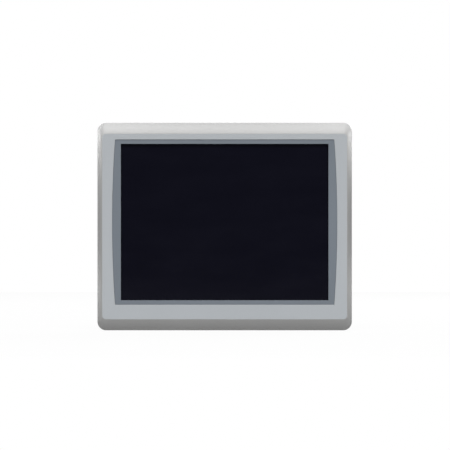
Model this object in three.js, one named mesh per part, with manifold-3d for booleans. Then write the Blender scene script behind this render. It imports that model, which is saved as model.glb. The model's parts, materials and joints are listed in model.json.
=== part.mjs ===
// A 10.4-inch panel-mount touch terminal: a front bezel with its touch screen and display, a rear
// housing that passes through a cut-out in an enclosure panel, a sheet-steel logic module on the
// housing's back, and four screw clamps that pull the bezel's gasket against the panel.
//
// Millimetres. Seen by the operator, +X is right and +Z is up; +Y points into the enclosure.
// The origin is the centre of the panel cut-out, on the panel's front face.
// A pair such as [40.6, 42.7] is a span along an axis, low end first.

import * as THREE from "three";
import { mergeVertices } from "three/addons/utils/BufferGeometryUtils.js";
import Module from "manifold-3d";

const wasm = await Module();
wasm.setup();

// ---- driving dimensions ---------------------------------------------------------------------

const GAP = 0.1; // between pieces that touch or are bonded
const CUT = 1; // how far a cutting tool runs past the surface it opens

// Bezel: an upright edge, then a crowned slope up to a flat face.
const BEZEL = { width: 263, height: 214.5, radius: 9, back: -0.6, edge: -4.2 };
const FACE = { width: 253, height: 191.5, radius: 4, y: -9.5 };
const CROWN = 0.1; // how far the slope bulges out of a straight line, as a share of its height
const CROWN_STEPS = 4;

// The visible screen, the surround whose sides bow outwards, and the ledge that both rest on.
const VIEW = { width: 214.4, height: 161.5, radius: 0.6, z: 4.6 };
const SURROUND = { half: 113.4, bow: 3, z: [-80.8, 90.2], y: [-8.9, -7.95], clearance: 0.2 };
const LEDGE = { y: [-7.9, -6.9], overlap: 1.1 };

// Layers behind the ledge, front to back.
const TOUCH = { width: 222, height: 168, gasket: [-6.85, -6.35], film: [-6.3, -6.05], glass: [-6, -3.8] };
const LCD = { width: 236, height: 176.8, wall: 0.8, lip: 0.4, y: [-3.4, 3] };
const CELL = { width: 230, height: 171, z: 2, y: [-2.95, -1.85] };
const BACKLIGHT = { width: 233.6, height: 174.4, y: [-1.75, 2.65] };
const BRACKET = { width: 239, height: 190, y: [3.2, 4.4] };
const DRIVER = { x: [-55, 55], y: [6.4, 8], z: [-70, -50] };

// Panel gasket, in a groove of the bezel's back.
const GASKET = { outer: [257, 208], inner: [250.2, 201.2], radius: 6.8, front: -2.1, clearance: 0.2 };

// Rear housing and the four screws that hold it and the display bracket to the bezel.
const HOUSING = { width: 245, height: 196, radius: 5, wall: 2, y: [-0.4, 34], backWall: 2.5, chamfer: 2.5 };
const HOUSING_SCREW = { x: 112, z: 92.8, pillar: 3.9, post: 3, seat: 29.5, recess: 3.4, length: 34.8 };
const WALL_SLOTS = { x: [-55, 12], step: 10, half: 2, y: [9, 25] };
const BACK_SLOTS = { x: 110, half: [6, 1.6], step: 7, count: 6, z: [-42, 8] };
const CABLE = { x: 40, width: 24, thick: 0.8, hole: [-12, 4] };
const EARTH = { x: -100, z: -78, boss: 6.5, rise: 1, washer: [2.1, 4.6], thick: 1 };

// Logic module: a sheet-steel box with four ears, open towards the housing.
const MODULE = { width: 172, height: 128, z: 4, radius: 2.5, wall: 1.2, y: [34.2, 56.2] };
const EAR = { x: 91.5, z: [-44, 52], reach: 6, height: 14 };
const BOARD = { width: 166, height: 120, y: [37.4, 39], peg: [76, 52], pegRadius: 1.35 };
const VENTS = { x: [-65, 14], step: 10, half: 1.8, back: [-50, -16], top: [40, 52] };
const HEAT_SINK = { x: [-29, 9], z: [11, 49], base: [41.4, 43.6], top: 52, pitch: 4.4 };
const RATING = { x: [2, 66], z: [22, 54], thick: 0.4 };
const UNDERSIDE = MODULE.z - MODULE.height / 2;
const END = MODULE.width / 2;
const INSIDE = MODULE.y[1] - MODULE.wall;
const ON_BOARD = BOARD.y[1] + GAP;

// Connectors along the module's underside: the X of each centre, and the Y of the pins' row.
const POWER = { x: -62, pinY: 45.3, pitch: 5.08, screwZ: -68, screwY: 47.8 };
const ETHERNET_X = -24;
const USB_X = [-2, 16];
const SERIAL = { x: 52, y: 45.35, jackScrew: 12.5, pinPitch: 2.75 };

// On the module's right-hand end and back.
const CARD = { x: [55.6, 87.6], y: [40.6, 42.7], z: [-17, 7] };
const DIP = { x: [77, 84.4], y: [39.1, 44.6], z: [36, 46], levers: [38.9, 43.1], leverY: [40.4, 41.6] };
const RESET = { y: 42, z: 24, x: [81.7, 87.2], radius: 1.5, flange: 2.2, switch: [74.5, 80.5] };
const BATTERY = { x: -52, z: 40, cell: 10, holder: 12.4, y: [48, 51.2] };
const DOOR = { half: 17, low: 25.4, thick: 1.3, knuckle: 1.7, hingeY: 54.4, hingeZ: 54.2 };
const DOOR_PIN = { radius: 0.7, lug: 2 };

// Screw clamps: where each stands along the housing's top and bottom walls, and its outline
// counted from the wall's outer face.
const CLAMP_X = 85;
const CLAMP = { axis: 4.8, half: 7, y: [13, 21], tail: 27, hole: 2.1 };
const KEYHOLE = { neck: 3.3, neckY: [14.6, 21.4], headY: [12, 24], travel: 8 };
const CLAMP_SCREW = { radius: 1.95, head: [34.5, 38], headRadius: 3.4 };
const PAD = { y: [8, 11], radius: 3, bore: 1.7, floor: 1.4 };

const ROUND = 12; // sides of a small cylinder
const WIDE = 24; // sides of a large one
const ARC = 2; // half the number of steps in a rounded corner

// ---- solids ---------------------------------------------------------------------------------

function toSolid(geometry) {
  const bare = new THREE.BufferGeometry();
  bare.setAttribute("position", geometry.getAttribute("position"));
  bare.setIndex(geometry.index);
  const merged = mergeVertices(bare, 1e-4);
  return new wasm.Manifold(
    new wasm.Mesh({
      numProp: 3,
      vertProperties: new Float32Array(merged.attributes.position.array),
      triVerts: new Uint32Array(merged.index.array),
    }),
  );
}

function toGeometry(solid) {
  const mesh = solid.getMesh();
  return new THREE.BufferGeometry()
    .setAttribute("position", new THREE.BufferAttribute(mesh.vertProperties, 3))
    .setIndex(new THREE.BufferAttribute(mesh.triVerts, 1));
}

const join = (first, ...others) => others.reduce((whole, piece) => whole.add(piece), first);
const cut = (blank, ...tools) => tools.reduce((left, tool) => left.subtract(tool), blank);
const repeat = (places, make) => join(...places.map(make));
const around = (centre, half) => [centre - half, centre + half];
const past = ([low, high]) => [low - CUT, high + CUT];
const evenly = ([low, high], step) =>
  Array.from({ length: Math.floor((high - low) / step) + 1 }, (_, i) => high - i * step);
const corners = (x, z) => [[-x, -z], [x, -z], [-x, z], [x, z]];
const mix = (a, b, t) => a + (b - a) * t;

function block([x0, x1], [y0, y1], [z0, z1]) {
  const box = new THREE.BoxGeometry(x1 - x0, y1 - y0, z1 - z0);
  return toSolid(box.translate((x0 + x1) / 2, (y0 + y1) / 2, (z0 + z1) / 2));
}

// Cylinders along each axis; the last two coordinates place the axis.
function rodY(radius, [y0, y1], x, z, sides = ROUND) {
  const rod = new THREE.CylinderGeometry(radius, radius, y1 - y0, sides);
  return toSolid(rod.translate(x, (y0 + y1) / 2, z));
}

function rodX(radius, [x0, x1], y, z, sides = ROUND) {
  const rod = new THREE.CylinderGeometry(radius, radius, x1 - x0, sides);
  return toSolid(rod.rotateZ(Math.PI / 2).translate((x0 + x1) / 2, y, z));
}

function rodZ(radius, [z0, z1], x, y, sides = ROUND) {
  const rod = new THREE.CylinderGeometry(radius, radius, z1 - z0, sides);
  return toSolid(rod.rotateX(Math.PI / 2).translate(x, y, (z0 + z1) / 2));
}

// Sweeps of an outline drawn in (x, z) along Y, in (y, z) along X, or in (x, y) along Z.
const SWEEP = {
  y: new THREE.Matrix4().set(1, 0, 0, 0, 0, 0, -1, 0, 0, 1, 0, 0, 0, 0, 0, 1),
  x: new THREE.Matrix4().set(0, 0, 1, 0, 1, 0, 0, 0, 0, 1, 0, 0, 0, 0, 0, 1),
  z: new THREE.Matrix4(),
};

function sweep(outline, axis, [start, end]) {
  const swept = new THREE.ExtrudeGeometry(outline, {
    depth: end - start,
    bevelEnabled: false,
    curveSegments: ARC,
  });
  const offset = new THREE.Vector3();
  offset[axis] = axis === "y" ? end : start;
  return toSolid(swept.applyMatrix4(SWEEP[axis]).translate(offset.x, offset.y, offset.z));
}

const plate = (outline, span) => sweep(outline, "y", span);

function polygon(points) {
  return new THREE.Shape(points.map(([u, v]) => new THREE.Vector2(u, v)));
}

function roundedRectangle(width, height, radius, centreZ = 0) {
  const x = width / 2 - radius;
  const z = height / 2 - radius;
  const quarter = Math.PI / 2;
  const centres = [[x, z], [-x, z], [-x, -z], [x, -z]];
  const outline = new THREE.Shape();
  centres.forEach(([u, v], i) => {
    outline.absarc(u, v + centreZ, radius, i * quarter, (i + 1) * quarter);
  });
  return outline;
}

// A solid through outlines that have the same number of points, each at its own Y, front first.
function loft(sections) {
  const rings = sections.map(([outline]) => outline.getPoints(ARC));
  const n = rings[0].length;
  const points = rings.flatMap((ring, i) => ring.flatMap((p) => [p.x, sections[i][1], p.y]));
  const faces = [];
  for (let k = 0; k + 1 < rings.length; k += 1) {
    for (let i = 0; i < n; i += 1) {
      const a = k * n + i;
      const b = k * n + ((i + 1) % n);
      faces.push(a, a + n, b, b, a + n, b + n);
    }
  }
  const last = (rings.length - 1) * n;
  THREE.ShapeUtils.triangulateShape(rings[0], []).forEach(([a, b, c]) => {
    faces.push(a, b, c);
  });
  THREE.ShapeUtils.triangulateShape(rings.at(-1), []).forEach(([a, b, c]) => {
    faces.push(last + a, last + c, last + b);
  });
  const skin = new THREE.BufferGeometry();
  skin.setAttribute("position", new THREE.Float32BufferAttribute(points, 3));
  skin.setIndex(faces);
  return toSolid(skin);
}

function ringPlate([width, height], inner, radius, span) {
  const innerRadius = radius - (width - inner[0]) / 2;
  return cut(
    plate(roundedRectangle(width, height, radius), span),
    plate(roundedRectangle(...inner, innerRadius), past(span)),
  );
}

// A pan-head screw along Y: the underside of its head is at 0 and its shank runs towards -Y.
function panScrew(head, height, shank, length) {
  const crown = new THREE.CylinderGeometry(head * 0.72, head, height, ROUND);
  const slot = [height * 0.45, height + CUT];
  const cross = join(
    block(around(0, head * 0.55), slot, around(0, head * 0.14)),
    block(around(0, head * 0.14), slot, around(0, head * 0.55)),
  );
  return cut(
    join(toSolid(crown.translate(0, height / 2, 0)), rodY(shank, [-length, height / 4], 0, 0, 8)),
    cross,
  );
}

// ---- materials and the scene graph ----------------------------------------------------------

const paint = (color, roughness, metalness = 0) =>
  new THREE.MeshStandardMaterial({ color, roughness, metalness, flatShading: true });

const MATERIAL = {
  bezel: paint(0xaeb3b6, 0.42),
  surround: paint(0x757c84, 0.5),
  screen: paint(0x0f0f19, 0.12),
  glass: paint(0x23262b, 0.08),
  rubber: paint(0x1c1c1e, 0.85),
  housing: paint(0x35383b, 0.55),
  black: paint(0x161617, 0.5),
  zinc: paint(0xb9bcbb, 0.38, 1),
  steel: paint(0xa8abad, 0.3, 1),
  aluminium: paint(0xc4c6c8, 0.4, 1),
  board: paint(0x1f5a38, 0.5),
  terminal: paint(0x2f7d4a, 0.5),
  brass: paint(0xc9a55a, 0.35, 1),
  white: paint(0xe6e6e2, 0.6),
  ribbon: paint(0xd9dadb, 0.5),
};

const terminalUnit = new THREE.Group();
const logicModule = new THREE.Group();
terminalUnit.add(logicModule);

function node(parent, name, solid, material) {
  const mesh = new THREE.Mesh(toGeometry(solid), MATERIAL[material]);
  mesh.name = name;
  parent.add(mesh);
  return mesh;
}

// ---- front ----------------------------------------------------------------------------------

const housingScrews = corners(HOUSING_SCREW.x, HOUSING_SCREW.z);

// The outline a share t of the way down the slope, from the face to the upright edge.
function slopeSection(t) {
  const outline = roundedRectangle(
    mix(FACE.width, BEZEL.width, t),
    mix(FACE.height, BEZEL.height, t),
    mix(FACE.radius, BEZEL.radius, t),
  );
  return [outline, mix(FACE.y, BEZEL.edge, t - 4 * CROWN * t * (1 - t))];
}

function bowedOutline(clearance) {
  const half = SURROUND.half - clearance;
  const low = SURROUND.z[0] + clearance;
  const high = SURROUND.z[1] - clearance;
  const control = half + 2 * SURROUND.bow;
  const middle = (low + high) / 2;
  const outline = new THREE.Shape();
  outline.moveTo(-half, low);
  outline.lineTo(half, low);
  outline.quadraticCurveTo(control, middle, half, high);
  outline.lineTo(-half, high);
  outline.quadraticCurveTo(-control, middle, -half, low);
  return outline;
}

function viewOutline(extra) {
  return roundedRectangle(VIEW.width + 2 * extra, VIEW.height + 2 * extra, VIEW.radius, VIEW.z);
}

const touchOutline = (extra) =>
  roundedRectangle(TOUCH.width + 2 * extra, TOUCH.height + 2 * extra, 1, VIEW.z);

function frontBezel() {
  const steps = Array.from({ length: CROWN_STEPS + 1 }, (_, i) => i / CROWN_STEPS);
  const edge = [roundedRectangle(BEZEL.width, BEZEL.height, BEZEL.radius), BEZEL.back];
  const blank = loft([...steps.map(slopeSection), edge]);
  const postTip = LCD.y[1] + GAP;
  const post = ([x, z]) => rodY(HOUSING_SCREW.post, [BEZEL.back - CUT, postTip], x, z);
  const pilot = ([x, z]) => rodY(1.3, [-5.6, postTip + CUT], x, z);
  const groove = ringPlate(
    GASKET.outer.map((size) => size + 2 * GASKET.clearance),
    GASKET.inner.map((size) => size - 2 * GASKET.clearance),
    GASKET.radius + GASKET.clearance,
    [GASKET.front - GAP, CUT],
  );
  return cut(
    join(blank, repeat(housingScrews, post)),
    plate(bowedOutline(0), [FACE.y - CUT, LEDGE.y[0]]),
    plate(viewOutline(LEDGE.overlap), past(LEDGE.y)),
    plate(touchOutline(0.5), [LEDGE.y[1], CUT]),
    plate(roundedRectangle(LCD.width + 2.5, LCD.height + 2.2, 1.5), [LCD.y[0] - GAP, CUT]),
    groove,
    repeat(housingScrews, pilot),
  );
}

function screenSurround() {
  const ring = plate(bowedOutline(SURROUND.clearance), SURROUND.y);
  return cut(ring, plate(viewOutline(0), past(SURROUND.y)));
}

function panelGasket() {
  return ringPlate(GASKET.outer, GASKET.inner, GASKET.radius, [GASKET.front, 0]);
}

node(terminalUnit, "front_bezel", frontBezel(), "bezel");
node(terminalUnit, "screen_surround", screenSurround(), "surround");
node(terminalUnit, "panel_gasket", panelGasket(), "rubber");

// ---- touch screen and display ---------------------------------------------------------------

function touchGasket() {
  const opening = plate(viewOutline(LEDGE.overlap + 0.5), past(TOUCH.gasket));
  return cut(plate(touchOutline(0), TOUCH.gasket), opening);
}

function lcdFrame() {
  const [front, back] = LCD.y;
  const inner = roundedRectangle(LCD.width - 2 * LCD.wall, LCD.height - 2 * LCD.wall, 0.5);
  return cut(
    plate(roundedRectangle(LCD.width, LCD.height, 1), LCD.y),
    plate(inner, [front + LCD.lip, back + CUT]),
    plate(viewOutline(LEDGE.overlap), [front - CUT, back]),
  );
}

function lcdGlass() {
  return plate(roundedRectangle(CELL.width, CELL.height, 0.5, CELL.z), CELL.y);
}

function lcdBacklight() {
  return plate(roundedRectangle(BACKLIGHT.width, BACKLIGHT.height, 0.5), BACKLIGHT.y);
}

function displayBracket() {
  const reach = past(BRACKET.y);
  return cut(
    plate(roundedRectangle(BRACKET.width, BRACKET.height, 3), BRACKET.y),
    repeat([-56, 56], (x) => block(around(x, 46), reach, [-40, 62])),
    repeat(housingScrews, ([x, z]) => rodY(1.8, reach, x, z)),
  );
}

function backlightDriver() {
  const middle = (DRIVER.z[0] + DRIVER.z[1]) / 2;
  const top = DRIVER.y[1] - GAP;
  const spacer = (x) => rodY(2.5, [BRACKET.y[1] + GAP, DRIVER.y[0] + GAP], x, middle, 6);
  return join(
    block(DRIVER.x, DRIVER.y, DRIVER.z),
    repeat([-50, 50], spacer),
    block([-40, -22], [top, 14], around(middle, 7)),
    block([18, 34], [top, 12.5], around(middle, 6)),
    repeat([-8, 2, 12], (x) => rodY(3, [top, 15], x, middle, 8)),
  );
}

// A flat ribbon that leaves the display's back, passes through the housing and meets the board.
function displayCable() {
  const half = CABLE.width / 2;
  const thin = CABLE.thick / 2;
  const ribbon = polygon([[-half, -thin], [half, -thin], [half, thin], [-half, thin]]);
  const route = [[3.2, -34], [10, -33], [15, -22], [22, -10], [30, -4.2], [37.2, -4]];
  const path = new THREE.CatmullRomCurve3(route.map(([y, z]) => new THREE.Vector3(CABLE.x, y, z)));
  return toSolid(new THREE.ExtrudeGeometry(ribbon, { steps: 16, extrudePath: path }));
}

node(terminalUnit, "touch_gasket", touchGasket(), "rubber");
node(terminalUnit, "touch_film", plate(touchOutline(0), TOUCH.film), "screen");
node(terminalUnit, "touch_glass", plate(touchOutline(0), TOUCH.glass), "glass");
node(terminalUnit, "lcd_frame", lcdFrame(), "steel");
node(terminalUnit, "lcd_glass", lcdGlass(), "screen");
node(terminalUnit, "lcd_backlight", lcdBacklight(), "white");
node(terminalUnit, "display_bracket", displayBracket(), "zinc");
node(terminalUnit, "backlight_driver", backlightDriver(), "board");
node(terminalUnit, "display_cable", displayCable(), "ribbon");

// ---- rear housing ---------------------------------------------------------------------------

const ears = EAR.z.flatMap((z) => [[-EAR.x, z], [EAR.x, z]]);

// The housing's top wall for side 1 and its bottom wall for side -1, as a span for cutting tools.
function wallSpan(side) {
  const outer = HOUSING.height / 2 + CUT;
  const inner = HOUSING.height / 2 - 2 * HOUSING.wall;
  return side > 0 ? [inner, outer] : [-outer, -inner];
}

// A keyhole slot: a clamp's foot drops into the wide end and slides into the neck.
function keyhole(x, side) {
  const along = (from, to) => [x + side * from, x + side * to].sort((a, b) => a - b);
  const { neck, neckY, headY, travel } = KEYHOLE;
  return join(
    block(along(-neck, travel), neckY, wallSpan(side)),
    block(along(travel - neck, travel + neck), headY, wallSpan(side)),
  );
}

function housingShell() {
  const { width, height, radius, wall, y, backWall, chamfer } = HOUSING;
  const outline = roundedRectangle(width, height, radius);
  const back = roundedRectangle(width - 2 * chamfer, height - 2 * chamfer, radius - 1);
  const blank = loft([[outline, y[0]], [outline, y[1] - chamfer - 1], [back, y[1]]]);
  const inner = roundedRectangle(width - 2 * wall, height - 2 * wall, radius - wall);
  const pillar = ([x, z]) => rodY(HOUSING_SCREW.pillar, [BRACKET.y[1] + 0.2, y[1]], x, z);
  return join(
    cut(blank, plate(inner, [y[0] - CUT, y[1] - backWall])),
    repeat(housingScrews, pillar).intersect(blank),
  );
}

function rearHousing() {
  const back = HOUSING.y[1];
  const inside = back - HOUSING.backWall;
  const through = [inside - CUT, back + CUT];
  const pegs = corners(...BOARD.peg).map(([x, z]) => [x, z + MODULE.z]);
  const boss = ([x, z]) => rodY(3.4, [26, inside + CUT], x, z);
  const seat = ([x, z]) => rodY(3, [back - CUT, BOARD.y[0] - 2 * GAP], x, z);
  const peg = ([x, z]) => rodY(BOARD.pegRadius, [back, BOARD.y[1] + 0.8], x, z);
  const recess = ([x, z]) => rodY(HOUSING_SCREW.recess, [HOUSING_SCREW.seat, back + CUT], x, z, WIDE);
  const wallSlot = (side) => (x) => block(around(x, WALL_SLOTS.half), WALL_SLOTS.y, wallSpan(side));
  const backSlot = (z) =>
    repeat([-BACK_SLOTS.x, BACK_SLOTS.x], (x) =>
      block(around(x, BACK_SLOTS.half[0]), through, around(z, BACK_SLOTS.half[1])),
    );
  const slotRows = BACK_SLOTS.z.flatMap((low) =>
    Array.from({ length: BACK_SLOTS.count }, (_, i) => low + i * BACK_SLOTS.step),
  );
  const wallSlots = evenly(WALL_SLOTS.x, WALL_SLOTS.step);
  return cut(
    join(
      housingShell(),
      repeat([...ears, [EARTH.x, EARTH.z]], boss),
      repeat(pegs, seat),
      repeat(pegs, peg),
      rodY(EARTH.boss, [back - CUT, back + EARTH.rise], EARTH.x, EARTH.z, WIDE),
    ),
    repeat(housingScrews, ([x, z]) => rodY(1.8, [0, back + CUT], x, z)),
    repeat(housingScrews, recess),
    repeat(ears, ([x, z]) => rodY(1.6, [27, back + CUT], x, z)),
    rodY(2.05, [27, back + EARTH.rise + CUT], EARTH.x, EARTH.z),
    repeat(wallSlots, wallSlot(1)),
    repeat(wallSlots, wallSlot(-1)),
    repeat(slotRows, backSlot),
    repeat([-CLAMP_X, CLAMP_X], (x) => join(keyhole(x, 1), keyhole(x, -1))),
    block(around(CABLE.x, CABLE.width / 2 + 4), through, CABLE.hole),
  );
}

node(terminalUnit, "rear_housing", rearHousing(), "housing");
housingScrews.forEach(([x, z], i) => {
  const solid = panScrew(3, 2.2, 1.2, HOUSING_SCREW.length);
  const screw = node(terminalUnit, `housing_screw_${i + 1}`, solid, "steel");
  screw.position.set(x, HOUSING_SCREW.seat + GAP, z);
});

// The earthing screw and the washer that clamps a ring terminal under its head.
function earthWasher() {
  const [bore, rim] = EARTH.washer;
  return cut(rodY(rim, [0, EARTH.thick], 0, 0, WIDE), rodY(bore, [-CUT, EARTH.thick + CUT], 0, 0));
}

const earthSeat = HOUSING.y[1] + EARTH.rise + GAP;
const earthHead = earthSeat + EARTH.thick + GAP;
const washer = node(terminalUnit, "earth_washer", earthWasher(), "steel");
washer.position.set(EARTH.x, earthSeat, EARTH.z);
const earthScrew = node(terminalUnit, "earth_screw", panScrew(4.4, 2.6, 1.95, 8), "brass");
earthScrew.position.set(EARTH.x, earthHead, EARTH.z);

// ---- logic module ---------------------------------------------------------------------------

// Openings in the cover's underside, one for each connector.
function undersideOpenings() {
  const reach = [UNDERSIDE - CUT, UNDERSIDE + MODULE.wall + 0.5];
  return join(
    block(around(POWER.x, 9.6), [38.7, 51.5], reach),
    block(around(ETHERNET_X, 8.4), [38.7, 53], reach),
    repeat(USB_X, (x) => block(around(x, 7), [38.7, 46.5], reach)),
    block(around(SERIAL.x, 9), around(SERIAL.y, 4.95), reach),
    repeat([-SERIAL.jackScrew, SERIAL.jackScrew], (x) => rodZ(1.6, reach, SERIAL.x + x, SERIAL.y)),
  );
}

// Openings in the cover's right-hand end: memory card, switch levers and reset button.
function endOpenings() {
  const reach = [END - MODULE.wall - 0.5, END + CUT];
  const clear = ([low, high], gap) => [low - gap, high + gap];
  return join(
    block(reach, clear(CARD.y, 0.4), clear(CARD.z, 0.5)),
    block(reach, [DIP.y[0] + 0.7, DIP.y[1] - 0.6], clear(DIP.z, -0.6)),
    rodX(RESET.radius + 0.3, reach, RESET.y, RESET.z),
  );
}

function coverShell() {
  const { width, height, z, radius, wall, y } = MODULE;
  const inner = roundedRectangle(width - 2 * wall, height - 2 * wall, radius - wall, z);
  const blank = plate(roundedRectangle(width, height, radius, z), y);
  const vents = evenly(VENTS.x, VENTS.step);
  const doorway = block(
    around(BATTERY.x, DOOR.half + 0.3),
    past([INSIDE, y[1]]),
    [DOOR.low - 0.3, DOOR.hingeZ + 2],
  );
  return cut(
    blank,
    plate(inner, [y[0] - CUT, INSIDE]),
    doorway,
    repeat(vents, (x) => block(around(x, VENTS.half), past([INSIDE, y[1]]), VENTS.back)),
    repeat(vents, (x) => block(around(x, VENTS.half), VENTS.top, around(z + height / 2, 2))),
    undersideOpenings(),
    endOpenings(),
  );
}

// Four ears take the cover's screws, and two lugs hold the battery door's pin.
function logicCover() {
  const flat = [MODULE.y[0], MODULE.y[0] + MODULE.wall];
  const ear = ([x, z]) =>
    cut(
      block(around(x, EAR.reach), flat, around(z, EAR.height / 2)),
      rodY(1.8, past(flat), x, z),
    );
  const lugX = DOOR.half + 0.3 + DOOR_PIN.lug / 2;
  const lugY = [DOOR.hingeY - 1.6, INSIDE + 0.5];
  const lug = (x) => block(around(BATTERY.x + x, DOOR_PIN.lug / 2), lugY, around(DOOR.hingeZ, 1.9));
  const pinReach = around(BATTERY.x, lugX + 1.7);
  const pinHole = rodX(DOOR_PIN.radius + 0.15, pinReach, DOOR.hingeY, DOOR.hingeZ);
  return cut(join(coverShell(), repeat(ears, ear), lug(-lugX), lug(lugX)), pinHole);
}

// Each component is its centre in (x, z), its size in (x, z) and its height off the board.
function mainBoard() {
  const { width, height, y, peg, pegRadius } = BOARD;
  const base = y[1] - 2 * GAP;
  const chip = ([x, z, w, h, tall]) => block(around(x, w / 2), [base, y[1] + tall], around(z, h / 2));
  const can = ([x, z, radius, tall]) => rodY(radius, [base, y[1] + tall], x, z, 8);
  const chips = [
    [-10, 30, 27, 27, 2.3],
    [30, 34, 16, 16, 1.4],
    [30, 12, 14, 10, 1.2],
    [-60, -8, 13, 13, 5.5],
    [-40, -16, 18, 12, 2],
    [14, -16, 9, 9, 1.5],
    [36, -24, 12, 8, 1.8],
    [(RESET.switch[0] + RESET.switch[1]) / 2, RESET.z, 6, 6, 4.5],
  ];
  const cans = [
    [-76, -20, 4, 11],
    [-76, -8, 4, 11],
    [-42, 0, 3.2, 8],
    [60, 52, 3.2, 8],
  ];
  return cut(
    join(
      plate(roundedRectangle(width, height, 2, MODULE.z), y),
      repeat(chips, chip),
      repeat(cans, can),
    ),
    repeat(corners(...peg), ([x, z]) => rodY(pegRadius + 0.25, past(y), x, z + MODULE.z)),
  );
}

function heatSink() {
  const { x, z, base, top, pitch } = HEAT_SINK;
  const fin = (edge) => block([edge - 1.4, edge], [base[1] - GAP, top], z);
  return join(block(x, base, z), repeat(evenly([x[0] + 1.4, x[1]], pitch), fin));
}

node(logicModule, "logic_cover", logicCover(), "zinc");
node(logicModule, "main_board", mainBoard(), "board");
node(logicModule, "heat_sink", heatSink(), "aluminium");

ears.forEach(([x, z], i) => {
  const screw = node(logicModule, `cover_screw_${i + 1}`, panScrew(2.9, 2.2, 1.45, 8), "steel");
  screw.position.set(x, MODULE.y[0] + MODULE.wall + GAP, z);
});

const ratingY = [MODULE.y[1] + GAP, MODULE.y[1] + GAP + RATING.thick];
node(logicModule, "rating_plate", block(RATING.x, ratingY, RATING.z), "aluminium");

// ---- connectors, each drawn with its centre at X = 0 -----------------------------------------

function ethernetJack() {
  return cut(
    block(around(0, 8), [ON_BOARD, 52.6], [-60.6, -39.6]),
    block(around(0, 5.95), [41.3, 49.6], [-62, -47]),
    block(around(0, 3), [49, 51.4], [-62, -52]),
  );
}

function usbPort() {
  const tongue = block(around(0, 5.6), [40.8, 42.6], [-59.8, -50]);
  const shell = block(around(0, 6.6), [ON_BOARD, 46.1], [-60.6, -46.6]);
  return join(cut(shell, block(around(0, 6.1), [40, 45.3], [-62, -50.6])), tongue);
}

// A D-shaped outline: a trapezium whose long side faces the board.
function dOutline(half, deep) {
  return polygon([[-half, -deep], [half, -deep], [half - 1.4, deep], [1.4 - half, deep]]);
}

function serialPort() {
  const { y, jackScrew, pinPitch } = SERIAL;
  const shell = cut(
    sweep(dOutline(8.4, 4.2), "z", [-66, -57.7]),
    sweep(dOutline(7.9, 3.7), "z", [-67, -59.2]),
  );
  const pinRow = (count, offset) =>
    Array.from({ length: count }, (_, i) => [(i - (count - 1) / 2) * pinPitch, y + offset]);
  const pins = [...pinRow(5, -1.4), ...pinRow(4, 1.4)];
  const flange = cut(
    block(around(0, 15.4), [ON_BOARD, 51.6], [-58.5, -57.5]),
    repeat([-jackScrew, jackScrew], (x) => rodZ(1.6, [-60, -56], x, y)),
  );
  return join(
    shell.translate([0, y, 0]),
    flange,
    block(around(0, 9.6), [ON_BOARD, 51.2], [-57.6, -48]),
    repeat(pins, ([x, pinY]) => rodZ(0.5, [-64.5, -58.5], x, pinY, 6)),
  );
}

function serialJackScrew() {
  const hexagon = rodZ(2.9, [-65, -60.1], 0, 0, 6);
  const stud = rodZ(1.35, [-60.5, -55], 0, 0, 8);
  return cut(join(hexagon, stud), rodZ(1.3, [-66, -61.5], 0, 0, 8));
}

const terminals = [-POWER.pitch, 0, POWER.pitch];

function powerSocket() {
  const pin = (x) => block(around(x, 0.5), around(POWER.pinY, 0.5), [-59.5, -51]);
  return join(
    cut(
      block(around(0, 9.2), [ON_BOARD, 51.1], [-60.4, -48.5]),
      block(around(0, 8.2), [41, 49.6], [-62, -52]),
    ),
    repeat(terminals, pin),
  );
}

// The plug's body with, for each wire, a pin hole, a wire entry and a screw well.
function powerPlug() {
  const { pinY, screwY, screwZ } = POWER;
  return cut(
    join(
      block(around(0, 8.6), [39.6, 52], [-75, -60.8]),
      block(around(0, 7.8), [41.4, 49.2], [-61.5, -52.6]),
    ),
    repeat(terminals, (x) => block(around(x, 0.8), around(pinY, 0.8), [-60.2, -50])),
    repeat(terminals, (x) => block(around(x, 1.7), [42.6, 46.6], [-76, -67])),
    repeat(terminals, (x) => rodY(2.15, [screwY - 0.2, 53], x, screwZ)),
  );
}

function terminalScrew() {
  const slot = block(around(0, 3), [2.6, 5], around(0, 0.35));
  return cut(rodY(1.9, [0, 3.6], 0, 0), slot);
}

node(logicModule, "ethernet_jack", ethernetJack(), "steel").position.x = ETHERNET_X;
USB_X.forEach((x, i) => {
  node(logicModule, `usb_port_${i + 1}`, usbPort(), "steel").position.x = x;
});
node(logicModule, "serial_port", serialPort(), "steel").position.x = SERIAL.x;
[-SERIAL.jackScrew, SERIAL.jackScrew].forEach((x, i) => {
  const screw = node(logicModule, `serial_jack_screw_${i + 1}`, serialJackScrew(), "brass");
  screw.position.set(SERIAL.x + x, SERIAL.y, 0);
});
node(logicModule, "power_socket", powerSocket(), "black").position.x = POWER.x;

const pluggedIn = new THREE.Group();
pluggedIn.position.x = POWER.x;
logicModule.add(pluggedIn);
node(pluggedIn, "power_plug", powerPlug(), "terminal");
terminals.forEach((x, i) => {
  const screw = node(pluggedIn, `terminal_screw_${i + 1}`, terminalScrew(), "steel");
  screw.position.set(x, POWER.screwY, POWER.screwZ);
});

// ---- battery, memory card and service switches ----------------------------------------------

function batteryHolder() {
  const [floor, top] = BATTERY.y;
  const well = [floor - 0.2, top + 2 * CUT];
  return cut(
    rodY(BATTERY.holder, [ON_BOARD, top + 0.8], 0, 0, WIDE),
    rodY(BATTERY.cell + 0.6, well, 0, 0, WIDE),
    block([4, BATTERY.holder + CUT], well, around(0, 5)),
  );
}

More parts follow.
